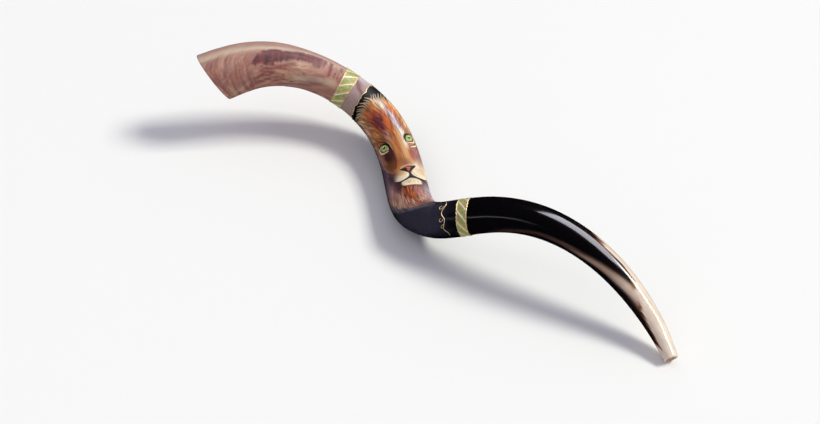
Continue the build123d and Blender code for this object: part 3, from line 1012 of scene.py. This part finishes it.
def muzzle_lobes(canvas, rng):
    """The two cream lobes with their hairs, pale lower edges and whisker spots."""
    for x, tilt in ((-31, -20), (-24, -14), (-17, -10)):
        canvas.patch((412, x), (14, 7), "cream", 0.5, 0.7, tilt)
    canvas.patches(
        ((428, -16), (13.5, 13), "cream", 0.95, 0.22, 20, 0.12),
        ((420, -27), (10, 8), "cream", 0.7, 0.5),
        ((434, 13.5), (11.5, 11.5), "cream", 0.95, 0.22, 0, 0.12),
        ((424, 14), (7, 11), "amber", 0.6, 0.6))
    for k in range(130):
        s_range, x_range = ((410, 434), (-20, -6)) if k % 2 else ((418, 436), (3, 15))
        root = np.array([rng.uniform(*s_range), rng.uniform(*x_range)])
        outward = np.array([rng.uniform(-0.2, 0.5), -1.0 if k % 2 else 1.0])
        tip = root + outward / np.hypot(*outward) * rng.uniform(5, 12)
        canvas.stroke([root, (root + tip) / 2 + (1.0, 0), tip], rng.uniform(0.4, 0.8),
                      ("tan", "white", "sand", "pink")[k % 4], 0.45, 0.5)
    canvas.patches(
        ((422, 17), (7, 8), (176, 122, 74), 0.55, 0.7),
        ((424, -19), (6, 8), (196, 158, 112), 0.45, 0.7))
    edge = (2.0, "white", 0.85, 0.8, 0.0, (0.1, 0.4))
    canvas.strokes(
        ([(433, 3.5), (439, 4.5), (443.5, 10), (445.5, 17), (441.5, 24)], *edge),
        ([(431, -2), (438, -5), (441.5, -12), (439, -21), (433, -28)], *edge))
    for s in (437, 434, 431):
        canvas.stroke([(s, 19), (s - 1, 23), (s - 4, 26)], 0.7, "rose", 0.6, 0.5)
    for k in range(6):
        for side in (-1, 1):
            spot = (424 + 3.0 * (k % 3) + (3 if side > 0 else 0), side * (10 + 4.5 * (k // 3)))
            canvas.patch(spot, (0.6, 0.6), "brown", 0.6, 0.5)


def chin(canvas, rng):
    """The cream chin with its dark rim and short hairs."""
    canvas.patches(
        ((456, 1), (9.5, 15.5), "dark", 0.85, 0.25),
        ((454.5, 1), (8.4, 14.5), "cream", 1.0, 0.16, 0, 0.1, 2.6),
        ((452, 1), (5.5, 10), (200, 184, 148), 0.7, 0.6))
    for k in range(40):
        x, start = rng.uniform(-11, 13), rng.uniform(448, 456)
        canvas.stroke([(start, x), (start + 3, x), (start + rng.uniform(5, 9), x * 1.05)], 0.6,
                      ("tan", "white", "sand")[k % 3], 0.5, 0.5)


def nose_and_mouth(canvas):
    """Dark strokes that fan in from the nose's top edge, its pink middle and the mouth's line."""
    line = ("black", 1.0, 0.5, 0.0)
    canvas.strokes(
        ([(436, 0.5), (441, 0.5), (444, -4), (445, -12), (441, -22), (434, -28)], 2.6, *line, (0.05, 0.5)),
        ([(438, 0.5), (443, 3), (447.5, 9), (448.5, 17), (443, 25)], 2.8, *line, (0.05, 0.5)),
        ([(428, 1), (434, 0.8), (441, 0.6)], 2.2, *line, (0.02, 0.1)),
        ([(411.5, -12), (412, -6), (413.5, 0), (416, 8), (419.5, 13)], 2.0, "cream", 0.8, 0.7))
    fans = (
        ((414.5, -10.5), (420.5, 11.5), (0, 1, 9), (431, 431.5), (3.0, "black", 1.0, 0.6, 0.0, (0.01, 0.3))),
        ((417, -8), (421, 9), (0.3, 0.62, 5), (429, 428.5), (1.8, (182, 74, 56), 0.85, 0.8, 0.0, (0.1, 0.5))))
    for left, right, shares, (bend_s, end_s), look in fans:
        for share in np.linspace(*shares):
            base = np.array(left) * (1 - share) + np.array(right) * share
            canvas.stroke([base, (base + (bend_s, 1)) / 2, (end_s, 1)], *look)
    canvas.patch((419.5, 0.2), (1.0, 3.4), (208, 120, 98), 0.7, 0.6, 12)
    nostril = (1.7, *line, (0.5, 0.1))
    canvas.strokes(
        ([(417, 13.5), (421, 10.5), (423, 6), (421.5, 2)], *nostril),
        ([(413, -12), (418, -9.5), (421, -6), (421, -2)], *nostril))


def beard(canvas, rng):
    """Long strokes under the chin: dark and rust near it, orange in the middle, pink at the side."""
    bands = ((-30, -2, "mauve", 50), (-26, 4, "pink", 80), (-10, 6, "rose", 26), (4, 16, "rust", 40),
             (6, 18, "orange", 26), (0, 14, "dark", 26), (16, 34, "plum", 46), (20, 46, "mauve", 60),
             (20, 46, "rose", 40), (18, 50, "pink", 150), (24, 46, "sand", 24), (6, 24, "amber", 12))
    for low, high, name, count in bands:
        for _ in range(count):
            s, x, size = rng.uniform(460, 518), rng.uniform(low, high), rng.uniform(12, 26)
            colour = np.clip(tinted(name, rng.uniform(0.72, 1.12)), 0, 250)
            slope = 0.16 + rng.uniform(-0.05, 0.08)
            canvas.stroke([(s, x), (s + size / 2, x + slope * size / 2 + rng.uniform(-0.8, 0.8)),
                           (s + size, x + slope * size)], rng.uniform(0.7, 1.7), colour, 0.62, 0.6, 0.03)
    for x in np.arange(-20, 49, 2.6):
        x = x + rng.uniform(-0.8, 0.8)
        tip_s = BEARD_END - max(x - 14, 0) * 1.45 - max(6 - x, 0) * 0.3 + rng.uniform(-4, 3)
        shade = tinted(("sand", "cream", "pink")[rng.integers(3)], rng.uniform(0.8, 1.0))
        canvas.stroke([(tip_s - 18, x - 3), (tip_s - 8, x - 1.4), (tip_s, x + 1.5)], rng.uniform(1.2, 2.0),
                      "pink", 0.85, 0.5, 0.04, (0.5, 0.6), shade)


def fade_into_ground(canvas, turn):
    """The painting ends in slate and black past the beard's edge, at its sides and at the elbow; its left
    side is darkened as painted shade, the slate past the beard is partly a painted reflection, and the grey
    at the elbow is a painted reflection on the black.
    """
    s, x = canvas.s, canvas.x
    ragged = 3.5 * noise(s / 9, x / 1.6, 22) + 2 * noise(s / 3, x, 23)
    beyond = smooth(331, 339, turn + 1.8 * ragged) * smooth(455, 475, s)
    end = smooth(532, 552, s + ragged)
    sides = smooth(46, 55, np.abs(x) + 0.6 * ragged)
    wisps = 0.65 + 0.35 * noise(s / 10, x / 1.8, 32)
    # Darker mauve towards the left edge: painted shade on the side away from the light.
    canvas.wash((92, 66, 68), 0.6 * smooth(36, 50, x) * between(s, 290, 320, 455, 470))
    canvas.wash("black", np.maximum.reduce([beyond, end, sides]))
    # Slate wisps past the beard's edge: partly a painted reflection on the black ground.
    canvas.wash((106, 101, 112), beyond * fall(344, 354, turn) * fall(46, 54, x) * wisps)
    # Grey painted reflection under the elbow.
    canvas.wash(ELBOW_REFLECTION_COLOUR, beyond * smooth(340, 354, turn) * smooth(470, 510, s))


def build_portrait():
    nominal = np.arange(FACE_START, FACE_END + GRID / 2, GRID)
    across = np.arange(-FACE_HALF, FACE_HALF + GRID / 2, GRID)
    x = across + 0 * nominal[:, None]
    radius = mean_radius(nominal)[:, None]
    turn = np.interp(nominal, *FACE_MIDDLE)[:, None] + np.degrees(x / radius)
    start = border_s(turn[0]) + 0.7
    s = nominal[:, None] + (start - FACE_START) * np.clip(1 - (nominal - FACE_START) / 40, 0, 1)[:, None]
    canvas = Canvas(s, x)
    rng = np.random.default_rng(7)
    underpaint(canvas)
    fur(canvas, rng, 900, (250, 345), (-50, 50), (10, 26), (0.6, 1.5), (0.62, 1.3))
    fur(canvas, rng, 420, (340, 420), (16, 50), (8, 18), (0.6, 1.3), (0.65, 1.3))
    fur(canvas, rng, 420, (340, 420), (-50, -12), (8, 18), (0.6, 1.3), (0.75, 1.22))
    fur(canvas, rng, 420, (430, 530), (-46, 50), (9, 20), (0.6, 1.5), (0.7, 1.25))
    mane_tips(canvas, rng)
    fur(canvas, rng, 260, (266, 320), (-40, 40), (10, 22), (0.5, 1.0), (1.15, 1.55), 0.6)
    brow_and_bridge(canvas, rng)
    beard(canvas, rng)
    muzzle_lobes(canvas, rng)
    chin(canvas, rng)
    nose_and_mouth(canvas)
    eyes(canvas)
    fade_into_ground(canvas, turn)
    columns = len(across)
    edge = np.minimum(np.arange(columns), np.arange(columns)[::-1])
    down = np.minimum(edge / 3, 1) * np.minimum(np.arange(len(nominal))[::-1] / 4, 1)[:, None]
    lift = COAT + (PORTRAIT - COAT + np.clip(canvas.rise, 0, 0.3)) * down - 0.1 * (down == 0)
    make_layer("lion_painting", (s, turn, lift + crease(s, turn)), "portrait_enamel", ["lion_portrait"],
               enamel_material("varnished_portrait", 0.0, (0.5, 0.65), 0.12, 1.22), canvas.colour,
               np.stack([s / 1000, x / 1000, 0 * s], -1), ring=False)


# ------------------------------------------------------------------ ground, bands and gold
GROUND_ROWS = 300
SCROLL_S = 574.5


def build_ground():
    """Black lacquer from the border to the lower band, with a grey painted reflection below the beard."""
    turns = all_round(180)
    share = np.linspace(0, 1, GROUND_ROWS)[:, None]
    start, end = border_s(turns), band_edge(LOWER_BAND[0], LOWER_LEAN, turns) - 0.6
    s = start + (end - start) * share
    turn = turns + 0 * s
    aside = apart(turn, 350)
    # Grey painted reflection on the black ground under the elbow.
    painted_reflection = smooth(-10, 4, aside) * fall(75, 125, aside) * between(s, 470, 510, 562, 584)
    colour = layered(plain(s, "black"), ((26, 25, 33), smooth(0, 0.8, noise(s / 30, turn / 20, 30, 18))),
                     (ELBOW_REFLECTION_COLOUR, painted_reflection))
    down = np.minimum(np.arange(GROUND_ROWS), np.arange(GROUND_ROWS)[::-1])[:, None]
    lift = COAT * np.minimum(down, 1) + 0.02 * noise(s / 20, turn / 15, 31, 24) + crease(s, turn)
    make_layer("black_ground", (s, turn, lift), "black_lacquer", ["ground_coat"],
               enamel_material("black_gloss_lacquer", 0.0, (0.2, 0.28), 0.25, 1.36), colour)


def wavy_line(s, turns, width, seed):
    """A closed hand-drawn line: s along it, with a slightly uneven width."""
    drift = 0.35 * noise(turns / 9, 0, seed) + 0.2 * np.sin(np.radians(turns * 30))
    widths = width * (1 + 0.3 * noise(turns / 5, 0, seed + 1))
    return ribbon(np.stack([s + drift, turns], 1), widths, LINE, UNDER, closed=True)


def band_colour(s, turn, share, phase, wobble, seed):
    """Green and ochre fields with a dark line between them and ochre edges."""
    place = (phase + wobble) % 1
    edge = np.minimum(share, 1 - share) + 0.03 * wobble
    return layered(
        plain(s, (192, 160, 100)),
        ((144, 156, 84), between(place, 0.1, 0.2, 0.6, 0.7)),
        ((186, 192, 122), 0.6 * smooth(0.0, 0.8, noise(s / 6, turn / 6, seed + 1, 60))),
        ((150, 122, 66), 0.5 * hill(place - 0.68, 0.04)),
        ((204, 176, 118), 0.7 * fall(0.02, 0.12, edge)))


def build_band(name, span, lean, stripes, seed):
    """Enamel ring in green and ochre, white slanted stripes and two gold edge lines."""
    count, first, slant, width = stripes
    turns = all_round(360)
    low, high = band_edge(span[0], lean, turns), band_edge(span[1], lean, turns)
    share = np.linspace(0, 1, 28)[:, None]
    s = low + (high - low) * share
    turn = turns + 0 * s
    step = 360 / count
    phase = ((turn - first - slant * (share - 0.5)) / step + 0.5) % 1 - 0.5
    wobble = 0.05 * noise(s / 4, turn / 6, seed, 60)
    make_layer(f"{name}_enamel", (s, turn, BAND + 0.05 * noise(s / 3, turn / 4, seed + 2, 90)),
               "band_enamel", [name], enamel_material(f"{name}_paint"),
               band_colour(s, turn, share, phase, wobble, seed), back_every=9)
    strips = []
    along = np.linspace(-0.02, 1.02, 16)
    for k in range(count):
        middle = first + step * k + slant * (along - 0.5) + 0.8 * noise(along * 3, k, seed + 3)
        place = band_edge(span[0], lean, middle) * (1 - along) + band_edge(span[1], lean, middle) * along
        widths = width * (1 + 0.18 * noise(along * 4, k + 0.5, seed + 4))
        strips.append(ribbon(np.stack([place, middle], 1), widths, STRIPE, UNDER))
    make_piece(f"{name}_white_stripes", *joined(strips), "white_enamel", [f"{name}_stripes"],
               white_material())
    lines = [wavy_line(s, turns, BAND_LINE_WIDTH, seed + number)
             for s, number in ((low - 0.3, 5), (high + 0.3, 7))]
    make_piece(f"{name}_gold_edges", *joined(lines), "gold_paint", [f"{name}_lines"], gold_material())


def build_border():
    turns = all_round(360)
    points, faces = wavy_line(border_s(turns), turns, BORDER_WIDTH, 50)
    make_piece("gold_border", points, faces, "gold_paint", ["border_line"], gold_material())


def build_scroll():
    """A plain stem beside the lower band with three curls."""
    radius = float(mean_radius(572.0))
    stem_turns = np.linspace(-6, 118, 60)
    stem_s = SCROLL_S + 2.0 * np.sin(np.radians(stem_turns * 7.2 + 20)) - 0.012 * (stem_turns - 50)
    parts = [ribbon(np.stack([stem_s, stem_turns], 1), 1.3 * np.sin(np.linspace(0.35, pi - 0.35, 60)),
                    LINE + 0.1, UNDER)]
    for middle, size, way in ((13, 3.6, 1), (53, 3.2, 1), (77, 3.0, -1)):
        t = np.linspace(0, 1, 26)
        angle = way * (pi * 0.1 + t * 1.55 * pi)
        reach = size * (1 - 0.62 * t)
        s = SCROLL_S - size + reach * np.cos(angle)
        turn = middle + np.degrees(reach * np.sin(angle) / radius)
        parts.append(ribbon(np.stack([s, turn], 1), 1.25 * (1 - 0.45 * t), LINE + 0.1, UNDER))
    make_piece("gold_scroll", *joined(parts), "gold_paint", ["scroll"], gold_material())


# ------------------------------------------------------------------ floor, lights and camera
FLOOR_SIZE = 12.0
FLOOR_GREY = 0.86
SKY_COLOUR, SKY_STRENGTH = (0.88, 0.87, 1.0), 0.5
# Azimuth, height, distance and size in m, watts, colour, and whether it lights surfaces and is mirrored.
LIGHTS = {
    "key_softbox": (130, 48, 30, (9.5, 8.0), 7650, (0.993, 1.0, 0.898), True, True),
    "fill_softbox": (-40, 55, 3.2, (2.0, 1.5), 6, (1, 1, 1), True, False),
    "overhead_panel": (165, 66, 3, (3.0, 2.1), 270, (0.93, 0.91, 1.0), False, True),
    "low_window": (-20, 13, 3, (0.8, 0.18), 1.4, (0.9, 0.88, 1.0), False, True),
}
CAMERA_AZIMUTH, CAMERA_HEIGHT, CAMERA_ROLL, CAMERA_DISTANCE = 39.2, 37.5, 0.43, 2.2
CAMERA_TARGET = Vector((-0.0164, -0.059, 0.0287))
LENS, SENSOR = 69.0, 36.0


def direction(azimuth, height):
    """Unit vector towards a place at an azimuth from -Y towards +X and a height, in degrees."""
    a, h = radians(azimuth), radians(height)
    return Vector((sin(a) * cos(h), -cos(a) * cos(h), sin(h)))


def build_floor():
    half = FLOOR_SIZE / 2
    mesh = bpy.data.meshes.new("floor")
    corners = [(-half, -half, 0), (half, -half, 0), (half, half, 0), (-half, half, 0)]
    mesh.from_pydata(corners, [], [(0, 1, 2, 3)])
    floor = bpy.data.objects.new("floor", mesh)
    bpy.context.scene.collection.objects.link(floor)
    floor.visible_glossy = False        # the gloss mirrors the lights, not the floor
    m = Nodes("pale_floor")
    m.set(Base_Color=(FLOOR_GREY, FLOOR_GREY, FLOOR_GREY, 1), Roughness=0.9, Specular_IOR_Level=0.1)
    mesh.materials.append(m.material)


def add_area_light(name, azimuth, height, distance, size, power, colour, lights_up, mirrored):
    light = bpy.data.lights.new(name, "AREA")
    light.shape = "RECTANGLE"
    light.size, light.size_y = size
    light.energy = power
    light.color = colour
    lamp = bpy.data.objects.new(name, light)
    way = direction(azimuth, height)
    lamp.location = Vector((0, 0, 0.05)) + way * distance
    lamp.rotation_euler = way.to_track_quat("Z", "Y").to_euler()
    lamp.visible_diffuse = lights_up
    lamp.visible_glossy = mirrored
    bpy.context.scene.collection.objects.link(lamp)


def build_world():
    world = bpy.data.worlds.new("pale_room")
    world.use_nodes = True
    background = world.node_tree.nodes["Background"]
    background.inputs["Color"].default_value = (*SKY_COLOUR, 1)
    background.inputs["Strength"].default_value = SKY_STRENGTH
    world.cycles_visibility.glossy = False      # the dark room above isn't mirrored in the gloss
    bpy.context.scene.world = world


def build_camera():
    back = direction(CAMERA_AZIMUTH, CAMERA_HEIGHT)
    level = Vector((cos(radians(CAMERA_AZIMUTH)), sin(radians(CAMERA_AZIMUTH)), 0))
    upright = back.cross(level)
    roll = radians(CAMERA_ROLL)
    right = level * cos(roll) + upright * sin(roll)
    up = upright * cos(roll) - level * sin(roll)
    data = bpy.data.cameras.new("camera")
    data.lens, data.sensor_width = LENS, SENSOR
    data.clip_end = 50
    camera = bpy.data.objects.new("camera", data)
    turn = Matrix((right, up, back)).transposed().to_4x4()
    camera.matrix_world = Matrix.Translation(CAMERA_TARGET + back * CAMERA_DISTANCE) @ turn
    bpy.context.scene.collection.objects.link(camera)
    bpy.context.scene.camera = camera


build_horn()
build_ground()
build_portrait()
build_border()
build_band("upper_band", UPPER_BAND, UPPER_LEAN, UPPER_STRIPES, 60)
build_band("lower_band", LOWER_BAND, LOWER_LEAN, LOWER_STRIPES, 80)
build_scroll()
build_floor()
build_world()
for light_name, light_values in LIGHTS.items():
    add_area_light(light_name, *light_values)
build_camera()
bpy.context.scene.view_settings.view_transform = "Standard"
